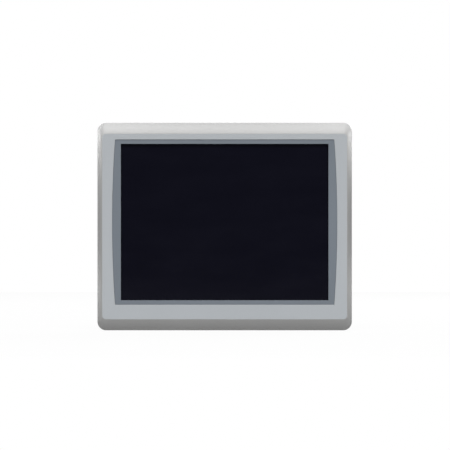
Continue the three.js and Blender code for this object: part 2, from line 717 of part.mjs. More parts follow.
// The door's leaf, its hinge knuckle, a latch lip at its free edge and a finger groove.
function batteryDoor() {
  const { half, low, hingeY, hingeZ, knuckle, thick } = DOOR;
  const outer = hingeY + knuckle;
  return cut(
    join(
      block(around(0, half), [outer - thick, outer], [low, hingeZ]),
      rodX(knuckle, around(0, half), hingeY, hingeZ),
      block(around(0, 4), [outer - thick - 1.9, outer - thick + 0.3], [low, low + 1.2]),
    ),
    rodX(DOOR_PIN.radius + 0.15, around(0, half + CUT), hingeY, hingeZ),
    block(around(0, 6), [outer - 0.6, outer + CUT], [low + 2, low + 5]),
  );
}

const batteryBay = new THREE.Group();
batteryBay.position.x = BATTERY.x;
logicModule.add(batteryBay);
const coinCell = rodY(BATTERY.cell, BATTERY.y, 0, 0, WIDE);
const pinSpan = around(0, DOOR.half + DOOR_PIN.lug + 0.2);
const doorPin = rodX(DOOR_PIN.radius, pinSpan, DOOR.hingeY, DOOR.hingeZ);
node(batteryBay, "battery_holder", batteryHolder(), "black").position.z = BATTERY.z;
node(batteryBay, "coin_cell", coinCell, "steel").position.z = BATTERY.z;
node(batteryBay, "battery_door", batteryDoor(), "black");
node(batteryBay, "battery_door_pin", doorPin, "steel");

function cardSocket() {
  const mouth = END - MODULE.wall - 0.4;
  const middle = (CARD.z[0] + CARD.z[1]) / 2;
  return cut(
    block([CARD.x[0] - 1.2, mouth], [ON_BOARD, CARD.y[1] + 1.2], around(middle, 13.4)),
    block([CARD.x[0] - 0.3, mouth + CUT], [CARD.y[0] - 0.3, CARD.y[1] + 0.3], around(middle, 12.3)),
  );
}

// One leading corner of the card is cut off, and a finger groove runs along its outer end.
function memoryCard() {
  const [x0, x1] = CARD.x;
  const [z0, z1] = CARD.z;
  const bevel = 4;
  const outline = polygon([[x0, z0], [x1, z0], [x1, z1], [x0 + bevel, z1], [x0, z1 - bevel]]);
  const groove = block([x1 - 1.6, x1 - 0.8], [CARD.y[1] - 0.3, CARD.y[1] + CUT], [z0 + 2, z1 - 2]);
  return cut(plate(outline, CARD.y), groove);
}

function dipSwitch() {
  const channel = (z) => block([82.8, DIP.x[1] + CUT], [40.1, 43.7], around(z, 0.95));
  return cut(block(DIP.x, DIP.y, DIP.z), repeat(DIP.levers, channel));
}

function dipSlider(z) {
  return block([83.1, 86.2], DIP.leverY, around(z, 0.65));
}

function resetButton() {
  const [back, tip] = RESET.x;
  return join(
    rodX(RESET.radius, [back + GAP, tip], RESET.y, RESET.z),
    rodX(RESET.flange, [back, back + 1.6], RESET.y, RESET.z),
  );
}

node(logicModule, "card_socket", cardSocket(), "steel");
node(logicModule, "memory_card", memoryCard(), "black");
node(logicModule, "dip_switch", dipSwitch(), "board");
DIP.levers.forEach((z, i) => {
  node(logicModule, `dip_slider_${i + 1}`, dipSlider(z), "white");
});
node(logicModule, "reset_button", resetButton(), "terminal");

// ---- clamps ---------------------------------------------------------------------------------
// Each is drawn at the top wall, with Z counted from the housing's outer face. The bottom pair is
// the same clamp turned half a turn about Y.

function clampBracket() {
  const { axis, half, tail, hole } = CLAMP;
  const [front, back] = CLAMP.y;
  const crown = axis + 3.8;
  const bevel = 1.2;
  const side = polygon([
    [front, 0.4], [tail, 0.4], [tail, 1.6], [back + 1.5, 2.2], [back, 4.4],
    [back, crown - bevel], [back - bevel, crown], [front + bevel, crown], [front, crown - bevel],
  ]);
  const wall = HOUSING.wall;
  const shrink = ([low, high], gap) => [low + gap, high - gap];
  const neck = block(around(0, 2.8), shrink(KEYHOLE.neckY, 0.4), [-wall - CUT, 0.6]);
  const foot = block(around(0, 2.8), shrink(KEYHOLE.headY, 0.6), [-wall - 2.6, -wall - 0.4]);
  return cut(join(sweep(side, "x", around(0, half)), neck, foot), rodY(hole, past([front, tail]), 0, axis));
}

// The thread's reduced tip turns inside the pad.
function clampScrew() {
  const [under, top] = CLAMP_SCREW.head;
  const shoulder = PAD.y[1] + 0.2;
  const head = rodY(CLAMP_SCREW.headRadius, CLAMP_SCREW.head, 0, 0, 16);
  const slot = block(around(0, 4), [top - 1.4, top + CUT], around(0, 0.5));
  return join(
    rodY(CLAMP_SCREW.radius, [shoulder, under + 0.5], 0, 0),
    rodY(1.4, [PAD.y[0] + PAD.floor + 0.2, shoulder + 0.8], 0, 0, 8),
    cut(head, slot),
  );
}

function clampPad() {
  const bore = rodY(PAD.bore, [PAD.y[0] + PAD.floor, PAD.y[1] + CUT], 0, 0);
  return cut(rodY(PAD.radius, PAD.y, 0, 0, 16), bore);
}

const clampPlaces = [[-CLAMP_X, 1], [CLAMP_X, 1], [-CLAMP_X, -1], [CLAMP_X, -1]];
clampPlaces.forEach(([x, side], i) => {
  const clamp = new THREE.Group();
  clamp.position.set(x, 0, (side * HOUSING.height) / 2);
  clamp.rotation.y = side > 0 ? 0 : Math.PI;
  terminalUnit.add(clamp);
  node(clamp, `clamp_bracket_${i + 1}`, clampBracket(), "zinc");
  node(clamp, `clamp_pad_${i + 1}`, clampPad(), "black").position.z = CLAMP.axis;
  node(clamp, `clamp_screw_${i + 1}`, clampScrew(), "steel").position.z = CLAMP.axis;
});

export default terminalUnit;
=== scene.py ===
"""Looks of the panel-mount touch terminal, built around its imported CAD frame.

Metres, in the CAD's own frame: +X right, +Z up, the screen faces -Y, and Y = 0 is the panel.
Lengths are written in millimetres times MM.
"""

import math

import bmesh
import bpy
from mathutils import Matrix, Vector
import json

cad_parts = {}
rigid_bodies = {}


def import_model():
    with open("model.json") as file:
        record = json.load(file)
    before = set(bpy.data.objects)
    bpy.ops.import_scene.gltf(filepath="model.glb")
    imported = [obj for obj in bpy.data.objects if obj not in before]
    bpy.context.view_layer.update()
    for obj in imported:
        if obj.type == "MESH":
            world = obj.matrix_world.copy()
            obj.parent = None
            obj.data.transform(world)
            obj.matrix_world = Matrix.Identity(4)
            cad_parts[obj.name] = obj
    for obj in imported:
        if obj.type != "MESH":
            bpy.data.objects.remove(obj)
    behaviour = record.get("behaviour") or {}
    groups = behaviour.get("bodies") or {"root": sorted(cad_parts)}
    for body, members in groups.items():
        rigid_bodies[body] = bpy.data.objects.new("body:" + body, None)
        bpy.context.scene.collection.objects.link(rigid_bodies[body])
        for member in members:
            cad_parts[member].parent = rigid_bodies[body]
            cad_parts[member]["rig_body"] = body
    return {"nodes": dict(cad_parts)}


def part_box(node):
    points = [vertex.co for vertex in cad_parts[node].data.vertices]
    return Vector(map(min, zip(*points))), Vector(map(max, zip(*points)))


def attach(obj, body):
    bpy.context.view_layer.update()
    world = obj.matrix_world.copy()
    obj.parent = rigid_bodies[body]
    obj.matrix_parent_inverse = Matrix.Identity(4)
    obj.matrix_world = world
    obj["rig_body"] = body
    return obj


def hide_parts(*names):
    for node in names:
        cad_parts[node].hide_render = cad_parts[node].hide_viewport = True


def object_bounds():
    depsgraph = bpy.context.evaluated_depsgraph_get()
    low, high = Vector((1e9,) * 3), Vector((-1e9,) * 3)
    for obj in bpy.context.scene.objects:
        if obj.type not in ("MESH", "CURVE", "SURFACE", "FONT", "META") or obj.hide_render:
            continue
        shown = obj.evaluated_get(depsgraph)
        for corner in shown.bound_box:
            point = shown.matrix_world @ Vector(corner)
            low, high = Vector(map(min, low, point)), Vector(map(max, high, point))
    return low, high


MM = 0.001
TAU = 2 * math.pi

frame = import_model()
NODES = frame["nodes"]
CAD_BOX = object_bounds()

# ---- camera: straight at the front, from far away through a long lens ------------------------

FRAME_WIDTH = 464.6 * MM  # what the picture spans at the bezel's face
LENS = 300.0
SENSOR = 36.0
CAMERA_DISTANCE = FRAME_WIDTH * LENS / SENSOR
CAMERA_X = 0.35 * MM
CAMERA_Z = 1.6 * MM
FACE_Y = CAD_BOX[0].y


def make_camera():
    camera = bpy.data.objects.new("camera", bpy.data.cameras.new("camera"))
    camera.data.lens = LENS
    camera.data.sensor_width = SENSOR
    camera.data.clip_end = 100
    camera.location = (CAMERA_X, FACE_Y - CAMERA_DISTANCE, CAMERA_Z)
    camera.rotation_euler = (math.pi / 2, 0, 0)
    bpy.context.scene.collection.objects.link(camera)
    bpy.context.scene.camera = camera


make_camera()

# ---- shader graphs ---------------------------------------------------------------------------


class Graph:
    """A material's nodes. Textures use object coordinates, so their scale is in features per metre."""

    def __init__(self, name):
        self.material = bpy.data.materials.new(name)
        self.material.use_nodes = True
        self.tree = self.material.node_tree
        self.shader = self.tree.nodes["Principled BSDF"]
        self.coords = self.add("ShaderNodeTexCoord").outputs["Object"]

    def add(self, kind, **settings):
        node = self.tree.nodes.new(kind)
        for key, value in settings.items():
            setattr(node, key, value)
        return node

    def link(self, source, target):
        self.tree.links.new(source, target)

    def feed(self, socket, value):
        if isinstance(value, bpy.types.NodeSocket):
            self.link(value, socket)
        else:
            socket.default_value = value

    def stretch(self, x, y, z):
        node = self.add("ShaderNodeMapping")
        node.inputs["Scale"].default_value = (x, y, z)
        self.link(self.coords, node.inputs["Vector"])
        return node.outputs["Vector"]

    def warped(self, scale, reach):
        """Object coordinates pushed about by a noise, by up to reach metres."""
        noise = self.add("ShaderNodeTexNoise")
        noise.inputs["Scale"].default_value = scale
        noise.inputs["Detail"].default_value = 3.0
        self.link(self.coords, noise.inputs["Vector"])
        push = self.add("ShaderNodeVectorMath", operation="MULTIPLY_ADD")
        self.link(noise.outputs["Color"], push.inputs[0])
        push.inputs[1].default_value = (reach, reach, reach)
        self.link(self.coords, push.inputs[2])
        return push.outputs["Vector"]

    def noise(self, scale, detail=3.0, rough=0.5, vector=None):
        node = self.add("ShaderNodeTexNoise")
        node.inputs["Scale"].default_value = scale
        node.inputs["Detail"].default_value = detail
        node.inputs["Roughness"].default_value = rough
        self.link(vector or self.coords, node.inputs["Vector"])
        return node.outputs["Fac"]

    def cells(self, scale, vector=None):
        """A colour of its own for each cell of a Voronoi pattern."""
        node = self.add("ShaderNodeTexVoronoi", feature="F1")
        node.inputs["Scale"].default_value = scale
        self.link(vector or self.coords, node.inputs["Vector"])
        return node.outputs["Color"]

    def axis(self, letter):
        node = self.add("ShaderNodeSeparateXYZ")
        self.link(self.coords, node.inputs[0])
        return node.outputs[letter]

    def math(self, operation, a, b=0.0):
        node = self.add("ShaderNodeMath", operation=operation)
        for socket, value in zip(node.inputs, (a, b)):
            self.feed(socket, value)
        return node.outputs[0]

    def spread(self, value, low, high, to_low=0.0, to_high=1.0):
        node = self.add("ShaderNodeMapRange")
        for socket, number in zip(node.inputs, (value, low, high, to_low, to_high)):
            self.feed(socket, number)
        return node.outputs[0]

    def mix(self, factor, a, b):
        node = self.add("ShaderNodeMix", data_type="RGBA")
        self.feed(node.inputs[0], factor)
        self.feed(node.inputs[6], (*a, 1) if isinstance(a, tuple) else a)
        self.feed(node.inputs[7], (*b, 1) if isinstance(b, tuple) else b)
        return node.outputs[2]

    def bump(self, height, depth):
        node = self.add("ShaderNodeBump")
        node.inputs["Strength"].default_value = 1.0
        node.inputs["Distance"].default_value = depth
        self.link(height, node.inputs["Height"])
        return node.outputs["Normal"]

    def set(self, **values):
        for key, value in values.items():
            socket = self.shader.inputs[key.replace("_", " ")]
            if isinstance(value, tuple):
                value = (*value, 1)
            self.feed(socket, value)


def tone(colour, factor):
    return tuple(min(1.0, channel * factor) for channel in colour)


def moulded(name, colour, grain, depth, rough, specular=0.5):
    """Moulded plastic: an eroded grain, a faint flow mottle and roughness that follows the grain."""
    g = Graph(name)
    fine = g.noise(grain, 2.0, 0.6)
    broad = g.noise(22, 3.0)
    base = g.mix(broad, tone(colour, 0.9), tone(colour, 1.1))
    colour_out = g.mix(g.spread(fine, 0.3, 0.75), tone(colour, 0.88), base)
    g.set(
        Base_Color=colour_out,
        Roughness=g.spread(fine, 0.3, 0.7, rough - 0.06, rough + 0.08),
        Normal=g.bump(fine, depth),
    )
    g.shader.inputs["Specular IOR Level"].default_value = specular
    return g.material


def metal(name, colour, rough, scratches=(900, 60, 900), depth=0.01 * MM):
    """Metal with a directional scratch grain, slow tarnish and worn patches."""
    g = Graph(name)
    grain = g.noise(1.0, 4.0, 0.65, g.stretch(*scratches))
    tarnish = g.noise(35, 4.0, 0.6)
    base = g.mix(g.spread(tarnish, 0.35, 0.7), tone(colour, 0.86), colour)
    g.set(
        Base_Color=g.mix(g.spread(grain, 0.35, 0.7), tone(colour, 0.82), base),
        Metallic=1.0,
        Roughness=g.math("ADD", g.spread(grain, 0.3, 0.7, rough - 0.07, rough + 0.07),
                         g.spread(tarnish, 0.3, 0.8, -0.04, 0.06)),
        Normal=g.bump(grain, depth),
    )
    return g.material


def bezel_paint(name, colour):
    """Silver-grey paint over a die casting: fine metal flake, orange peel and a thin clear coat."""
    g = Graph(name)
    flake = g.cells(5200)
    peel = g.noise(900, 2.0)
    broad = g.noise(9, 2.0)
    flake_tone = g.add("ShaderNodeSeparateColor")
    g.link(flake, flake_tone.inputs[0])
    speck = flake_tone.outputs[0]
    base = g.mix(g.spread(broad, 0.3, 0.7), tone(colour, 0.985), tone(colour, 1.015))
    g.set(
        Base_Color=g.mix(g.spread(speck, 0.0, 1.0, 0.0, 0.35), base, tone(colour, 1.22)),
        Metallic=g.spread(speck, 0.0, 1.0, 0.08, 0.24),
        Roughness=g.spread(peel, 0.3, 0.7, 0.46, 0.54),
        Normal=g.bump(peel, 0.012 * MM),
    )
    g.shader.inputs["Coat Weight"].default_value = 0.1
    g.shader.inputs["Coat Roughness"].default_value = 0.35
    return g.material


def surround_paint():
    """Dark grey overlay with a fine silk texture."""
    g = Graph("surround_overlay")
    colour = (0.165, 0.189, 0.218)
    silk = g.noise(3800, 2.0, 0.55)
    broad = g.noise(14, 2.0)
    g.set(
        Base_Color=g.mix(g.spread(broad, 0.3, 0.7), tone(colour, 0.97), tone(colour, 1.03)),
        Roughness=g.spread(silk, 0.3, 0.7, 0.46, 0.56),
        Normal=g.bump(silk, 0.006 * MM),
    )
    g.shader.inputs["Specular IOR Level"].default_value = 0.35
    return g.material


def screen_film():
    """Hard-coated touch film over a dark display: fine sparkle, faint wiping marks."""
    g = Graph("screen_film")
    wiped = (0.0035, 0.0035, 0.0078)
    smeared = (0.0045, 0.0045, 0.0095)
    sparkle = g.noise(9000, 1.0)
    wiping = g.noise(1.0, 3.0, 0.6, g.stretch(14, 14, 46))
    g.set(
        Base_Color=g.mix(g.spread(wiping, 0.35, 0.75), wiped, smeared),
        Roughness=g.math("ADD", g.spread(sparkle, 0.3, 0.7, 0.1, 0.15),
                         g.spread(wiping, 0.4, 0.8, 0.0, 0.05)),
        Normal=g.bump(sparkle, 0.0015 * MM),
    )
    g.shader.inputs["Specular IOR Level"].default_value = 0.3
    return g.material


def zinc_sheet():
    """Zinc-plated sheet: crystal spangle under a rolled grain."""
    g = Graph("zinc_sheet")
    colour = (0.56, 0.575, 0.58)
    spangle = g.cells(215, g.warped(420, 3 * MM))
    tones = g.add("ShaderNodeSeparateColor")
    g.link(spangle, tones.inputs[0])
    rolled = g.noise(1.0, 3.0, 0.6, g.stretch(60, 900, 1400))
    blot = g.noise(28, 4.0, 0.6)
    base = g.mix(g.spread(tones.outputs[0], 0.0, 1.0), tone(colour, 0.88), tone(colour, 1.05))
    g.set(
        Base_Color=g.mix(g.spread(blot, 0.5, 0.8, 0.0, 0.4), base, tone(colour, 0.72)),
        Metallic=1.0,
        Roughness=g.math("ADD", g.spread(tones.outputs[1], 0.0, 1.0, 0.3, 0.42),
                         g.spread(rolled, 0.3, 0.7, -0.04, 0.05)),
        Normal=g.bump(rolled, 0.006 * MM),
    )
    return g.material


def circuit_board():
    """Green solder mask over a brick pattern of copper tracks, in patches."""
    g = Graph("circuit_board")
    cell = g.add("ShaderNodeTexBrick", offset=0.37, squash=1.6)
    tracks = {"Scale": 420.0, "Mortar Size": 0.035, "Brick Width": 0.9, "Row Height": 0.3}
    for key, value in tracks.items():
        cell.inputs[key].default_value = value
    turn = g.add("ShaderNodeMapping")
    turn.inputs["Rotation"].default_value = (math.pi / 2, 0, 0)
    g.link(g.coords, turn.inputs["Vector"])
    g.link(turn.outputs["Vector"], cell.inputs["Vector"])
    patch = g.spread(g.noise(60, 1.0), 0.42, 0.5)
    track = g.math("MULTIPLY", cell.outputs["Fac"], patch)
    mask = g.mix(track, (0.008, 0.075, 0.032), (0.02, 0.17, 0.07))
    g.set(
        Base_Color=mask,
        Roughness=g.spread(g.noise(700), 0.3, 0.7, 0.3, 0.42),
        Normal=g.bump(track, 0.03 * MM),
    )
    return g.material


def brushed_label():
    """A blank anodised plate: brushed along its length, with a darker printed border."""
    g = Graph("rating_plate")
    low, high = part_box("rating_plate")
    grain = g.noise(1.0, 3.0, 0.6, g.stretch(30, 2500, 2500))
    x_edge = g.math("SUBTRACT", abs(high.x - low.x) / 2,
                    g.math("ABSOLUTE", g.math("SUBTRACT", g.axis("X"), (low.x + high.x) / 2)))
    z_edge = g.math("SUBTRACT", abs(high.z - low.z) / 2,
                    g.math("ABSOLUTE", g.math("SUBTRACT", g.axis("Z"), (low.z + high.z) / 2)))
    edge = g.math("MINIMUM", x_edge, z_edge)
    border = g.math("MULTIPLY", g.math("GREATER_THAN", edge, 1.2 * MM), g.math("LESS_THAN", edge, 2.0 * MM))
    g.set(
        Base_Color=g.mix(border, g.mix(grain, (0.55, 0.56, 0.57), (0.68, 0.69, 0.7)), (0.03, 0.03, 0.035)),
        Metallic=g.math("SUBTRACT", 1.0, border),
        Roughness=g.spread(grain, 0.3, 0.7, 0.28, 0.42),
        Normal=g.bump(grain, 0.004 * MM),
    )
    return g.material


def make_materials():
    return {
        # The rim paint is the face paint's grey darkened: painted shade that makes the bezel's slopes
        # darker than the lamps alone make them.
        "bezel": bezel_paint("bezel_rim_paint_darkened_as_shade", (0.356, 0.356, 0.354)),
        "face": bezel_paint("bezel_face_paint", (0.42, 0.444, 0.467)),
        "surround": surround_paint(),
        "film": screen_film(),
        "glass": moulded("touch_glass", (0.02, 0.022, 0.026), 200, 0.001 * MM, 0.12),
        "display": moulded("display_cell", (0.006, 0.006, 0.009), 200, 0.001 * MM, 0.2),
        "rubber": moulded("rubber", (0.016, 0.016, 0.017), 2600, 0.02 * MM, 0.78, 0.3),
        "housing": moulded("housing_plastic", (0.04, 0.043, 0.047), 2100, 0.035 * MM, 0.52, 0.4),
        "black": moulded("black_plastic", (0.014, 0.014, 0.015), 3000, 0.012 * MM, 0.42),
        "green": moulded("terminal_plastic", (0.022, 0.19, 0.07), 2400, 0.012 * MM, 0.4),
        "white": moulded("white_plastic", (0.72, 0.72, 0.69), 2600, 0.01 * MM, 0.45),
        "clear": moulded("light_pipe", (0.55, 0.62, 0.45), 2000, 0.005 * MM, 0.2),
        "zinc": zinc_sheet(),
        "steel": metal("nickel_steel", (0.58, 0.57, 0.55), 0.26),
        "cast": metal("zinc_casting", (0.5, 0.51, 0.515), 0.4, (700, 700, 700), 0.02 * MM),
        "bright": metal("bright_zinc", (0.66, 0.67, 0.68), 0.24, (500, 500, 500)),
        "stamped": metal("tinned_shell", (0.62, 0.62, 0.61), 0.28, (1600, 1600, 70)),
        "aluminium": metal("aluminium", (0.7, 0.71, 0.72), 0.36, (900, 900, 50)),
        "brass": metal("brass", (0.72, 0.5, 0.2), 0.28, (300, 900, 300)),
        "gold": metal("gold_contact", (0.83, 0.6, 0.22), 0.2, (600, 600, 600)),
        "board": circuit_board(),
        "label": brushed_label(),
    }


MATERIALS = make_materials()

# ---- meshes ----------------------------------------------------------------------------------

SHARP = math.radians(32)
CRISP = math.radians(9)  # keeps the shallow edge where the flat face meets its slopes


def shade(mesh, sharp=SHARP):
    mesh.shade_smooth()
    mesh.set_sharp_from_angle(angle=sharp)


def piece(name, mesh, body, material, replaces=(), sharp=SHARP):
    """A visible object that rides on a body and stands for the CAD nodes it replaces."""
    shade(mesh, sharp)
    mesh.name = name
    mesh.materials.clear()
    mesh.materials.append(MATERIALS[material])
    obj = bpy.data.objects.new(name, mesh)
    bpy.context.scene.collection.objects.link(obj)
    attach(obj, body)
    if replaces:
        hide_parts(*replaces)
    return obj


def mesh_of(vertices, faces):
    mesh = bpy.data.meshes.new("mesh")
    mesh.from_pydata([tuple(v) for v in vertices], [], faces)
    mesh.validate()
    return mesh


def merged(meshes):
    """One mesh of several closed ones, each given as (mesh, matrix)."""
    total = bmesh.new()
    for mesh, matrix in meshes:
        copy = mesh.copy()
        copy.transform(matrix)
        total.from_mesh(copy)
        bpy.data.meshes.remove(copy)
    result = bpy.data.meshes.new("mesh")
    total.to_mesh(result)
    total.free()
    return result


def outward(mesh):
    shape = bmesh.new()
    shape.from_mesh(mesh)
    bmesh.ops.recalc_face_normals(shape, faces=shape.faces)
    shape.to_mesh(mesh)
    shape.free()
    return mesh


# A loop is a rounded rectangle with the same number of points whatever its size, so any two can
# be bridged: CORNER + 1 points round each corner and SIDE - 1 between corners.
CORNER = 12
SIDE = 14


def loop(width, height, radius, y, centre_z=0.0, bow=0.0):
    """Sizes in millimetres. bow pushes the left and right sides outwards along a parabola."""
    half_x = width / 2
    half_z = height / 2
    corners = [(1, 1), (-1, 1), (-1, -1), (1, -1)]
    points = []
    for i, (sx, sz) in enumerate(corners):
        centre = (sx * (half_x - radius), sz * (half_z - radius))
        for k in range(CORNER + 1):
            angle = (i + k / CORNER) * math.pi / 2
            points.append((centre[0] + radius * math.cos(angle), centre[1] + radius * math.sin(angle)))
        nx, nz = corners[(i + 1) % 4]
        angle = (i + 1) * math.pi / 2
        nearby = (radius * math.cos(angle), radius * math.sin(angle))
        start = points[-1]
        end = (nx * (half_x - radius) + nearby[0], nz * (half_z - radius) + nearby[1])
        for k in range(1, SIDE):
            t = k / SIDE
            points.append((start[0] + (end[0] - start[0]) * t, start[1] + (end[1] - start[1]) * t))
    bowed = []
    for x, z in points:
        push = bow * (1 - (z / half_z) ** 2) * x / half_x
        bowed.append(Vector((x + push, y, z + centre_z)) * MM)
    return bowed


def bridge(loops, closed):
    """Quads between neighbouring loops: a ring when closed, otherwise capped at both ends."""
    n = len(loops[0])
    vertices = [point for points in loops for point in points]
    faces = []
    pairs = [(k, k + 1) for k in range(len(loops) - 1)]
    if closed:
        pairs.append((len(loops) - 1, 0))
    for a, b in pairs:
        for i in range(n):
            j = (i + 1) % n
            faces.append((a * n + i, a * n + j, b * n + j, b * n + i))
    if not closed:
        last = (len(loops) - 1) * n
        faces.append(tuple(range(n)))
        faces.append(tuple(last + i for i in reversed(range(n))))
    return outward(mesh_of(vertices, faces))


HEXAGON_FROM = 2.5


def lathe(profile, segments=32, radius=None):
    """A body turned about the Y axis from (radius, y) points in millimetres, closed at its poles,
    or a ring if the last point is the first one again.
    radius, if given, maps (angle, radius, y) to another radius, for knurls, hexagons and threads."""
    vertices = []
    rows = []
    for r, y in profile:
        if rows and (r, y) == profile[0]:
            rows.append(rows[0])
            continue
        if r == 0:
            rows.append([len(vertices)])
            vertices.append((0, y * MM, 0))
            continue
        row = []
        for i in range(segments):
            angle = TAU * i / segments
            reach = radius(angle, r, y) if radius else r
            row.append(len(vertices))
            vertices.append((reach * math.cos(angle) * MM, y * MM, reach * math.sin(angle) * MM))
        rows.append(row)
    faces = []
    for low, high in zip(rows, rows[1:]):
        for i in range(segments):
            j = (i + 1) % segments
            corners = [low[i % len(low)], low[j % len(low)], high[j % len(high)], high[i % len(high)]]
            unique = list(dict.fromkeys(corners))
            if len(unique) > 2:
                faces.append(unique)
    return outward(mesh_of(vertices, faces))


def hexagon(angle, r, y):
    """Turns the wide part of a post into a hexagon as wide across its corners as the circle was."""
    if r <= HEXAGON_FROM:
        return r
    return r * math.cos(math.pi / 6) / math.cos((angle + math.pi / 6) % (math.pi / 3) - math.pi / 6)


def block(x, y, z, bevel=0.15):
    """A box between pairs of millimetres with its edges bevelled."""
    shape = bmesh.new()
    bmesh.ops.create_cube(shape, size=1)
    centre = Vector(((x[0] + x[1]) / 2, (y[0] + y[1]) / 2, (z[0] + z[1]) / 2)) * MM
    size = Vector((x[1] - x[0], y[1] - y[0], z[1] - z[0])) * MM
    placed = Matrix.Translation(centre) @ Matrix.Diagonal((*size, 1))
    bmesh.ops.transform(shape, matrix=placed, verts=shape.verts)
    if bevel:
        bmesh.ops.bevel(
            shape, geom=shape.edges[:], offset=bevel * MM, segments=2, profile=0.5, affect="EDGES"
        )
    mesh = bpy.data.meshes.new("block")
    shape.to_mesh(mesh)
    shape.free()
    return mesh


def carve(mesh, *cutters):
    """The mesh with closed cutters taken away."""
    target = bpy.data.objects.new("target", mesh)
    bpy.context.scene.collection.objects.link(target)
    tools = []
    for cutter in cutters:
        tool = bpy.data.objects.new("tool", cutter)
        bpy.context.scene.collection.objects.link(tool)
        tools.append(tool)
        modifier = target.modifiers.new("cut", "BOOLEAN")
        modifier.operation = "DIFFERENCE"
        modifier.solver = "EXACT"
        modifier.object = tool
    graph = bpy.context.evaluated_depsgraph_get()
    result = bpy.data.meshes.new_from_object(target.evaluated_get(graph))
    for obj in (target, *tools):
        bpy.data.objects.remove(obj)
    return result


IDENTITY = Matrix.Identity(4)


def at(x, y, z):
    return Matrix.Translation(Vector((x, y, z)) * MM)


# ---- pieces that keep a CAD node's shape: softened edges and a finish ------------------------


SOFTEN_TRIES = 8


def plain_copy(node):
    """A CAD node's mesh as a bmesh, with its coplanar facets merged."""
    data = NODES[node].data
    shape = bmesh.new()
    shape.from_mesh(mesh_of([v.co for v in data.vertices], [list(face.vertices) for face in data.polygons]))
    bmesh.ops.remove_doubles(shape, verts=shape.verts, dist=0.002 * MM)
    bmesh.ops.dissolve_limit(shape, angle_limit=math.radians(0.5), verts=shape.verts, edges=shape.edges)
    return shape


def spoiled_faces(shape):
    """Faces whose triangles cover more than their outline holds, because rounding folded it over."""
    shape.faces.index_update()
    covered = {}
    for triangle in shape.calc_loop_triangles():
        a, b, c = (corner.vert.co for corner in triangle)
        face = triangle[0].face
        covered[face.index] = covered.get(face.index, 0.0) + (b - a).cross(c - a).length / 2
    return [f for f in shape.faces if covered.get(f.index, 0.0) > f.calc_area() + 0.01 * MM * MM]


def rounded_edges(source, width, segments, angle, crowded, reach):
    """A copy of the bmesh with its sharp edges rounded, apart from those near a crowded spot."""
    shape = source.copy()
    sharp = [
        edge
        for edge in shape.edges
        if len(edge.link_faces) == 2
        and edge.calc_face_angle() > math.radians(angle)
        and not all(any((v.co - spot).length < reach for spot in crowded) for v in edge.verts)
    ]
    bmesh.ops.bevel(shape, geom=sharp, offset=width * MM, segments=segments, profile=0.5, affect="EDGES",
                    clamp_overlap=False, harden_normals=False)
    return shape


def softened(node, width, segments=2, angle=35):
    """A copy of a CAD node's mesh with its sharp edges rounded, except where there is no room to."""
    source = plain_copy(node)
    crowded = []
    shape = source
    for k in range(SOFTEN_TRIES if width else 0):
        shape = rounded_edges(source, width, segments, angle, crowded, (2 + 1.5 * k) * width * MM)
        spoiled = spoiled_faces(shape)
        if not spoiled:
            break
        crowded += [vertex.co.copy() for face in spoiled for vertex in face.verts]
        shape.free()
        shape = source
    mesh = bpy.data.meshes.new(node)
    shape.to_mesh(mesh)
    shape.free()
    if shape is not source:
        source.free()
    return mesh


def flat_shaded_faces(obj):
    """Weights the shading by face area, so that wide flat faces stay flat beside rounded edges."""
    modifier = obj.modifiers.new("weighted", "WEIGHTED_NORMAL")
    modifier.keep_sharp = True
    evaluated = obj.evaluated_get(bpy.context.evaluated_depsgraph_get())
    mesh = bpy.data.meshes.new_from_object(evaluated)
    mesh.name = obj.name
    obj.modifiers.clear()
    obj.data = mesh


def body_of(node):
    return NODES[node]["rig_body"]


KEPT = {
    "rear_housing": ("housing", 0.3),
    "logic_cover": ("zinc", 0.3),
    "main_board": ("board", 0.12),
    "heat_sink": ("aluminium", 0.12),
    "rating_plate": ("label", 0.08),
    "ethernet_jack": ("stamped", 0.15),
    "usb_port_1": ("stamped", 0.12),
    "usb_port_2": ("stamped", 0.12),
    "power_socket": ("green", 0.15),
    "power_plug": ("green", 0.25),
    "battery_door": ("housing", 0.2),
    "card_socket": ("stamped", 0.1),
    "memory_card": ("black", 0.12),
    "dip_switch": ("black", 0.12),
    "dip_slider_1": ("white", 0.1),
    "dip_slider_2": ("white", 0.1),
    "touch_gasket": ("rubber", 0),
    "touch_glass": ("glass", 0),
    "lcd_frame": ("steel", 0.1),
    "lcd_glass": ("display", 0),
    "lcd_backlight": ("white", 0),
    "display_bracket": ("zinc", 0.15),
    "backlight_driver": ("board", 0.12),
    "display_cable": ("white", 0),
    "battery_door_pin": ("steel", 0),
    **{f"clamp_bracket_{i}": ("cast", 0.2) for i in range(1, 5)},
}


def centre_of(node):
    low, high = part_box(node)
    return (low + high) / 2


def box_in_mm(node):
    low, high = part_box(node)
    return low / MM, high / MM


def door_marks():
    """Grip grooves and a ring the size of the cell, sunk in the battery door's outer face."""
    low, high = box_in_mm("battery_door")
    middle = (low.x + high.x) / 2
    face = high.y
    grooves = [
        block((middle - 7, middle + 7), (face - 0.25, face + 1), (low.z + z, low.z + z + 0.6), 0)
        for z in (7.0, 8.6, 10.2)
    ]
    inner, outer, sunk, above = 7.4, 7.9, face - 0.2, face + 1
    ring = lathe([(inner, sunk), (outer, sunk), (outer, above), (inner, above), (inner, sunk)], 64)
    ring.transform(at(middle, 0, low.z + 21.5))
    return [*grooves, ring]


def card_panel(inset, depth, top, bevel):
    """A box over the memory card's back, from depth under the face to top above it."""
    low, high = box_in_mm("memory_card")
    return block(
        (low.x + 6 + inset, high.x - 4 - inset),
        (high.y - depth, high.y + top),
        (low.z + 3 + inset, high.z - 3 - inset),
        bevel,
    )


def card_recess():
    return [card_panel(0.0, 0.15, 1, 0)]


CARVED = {"battery_door": door_marks, "memory_card": card_recess}

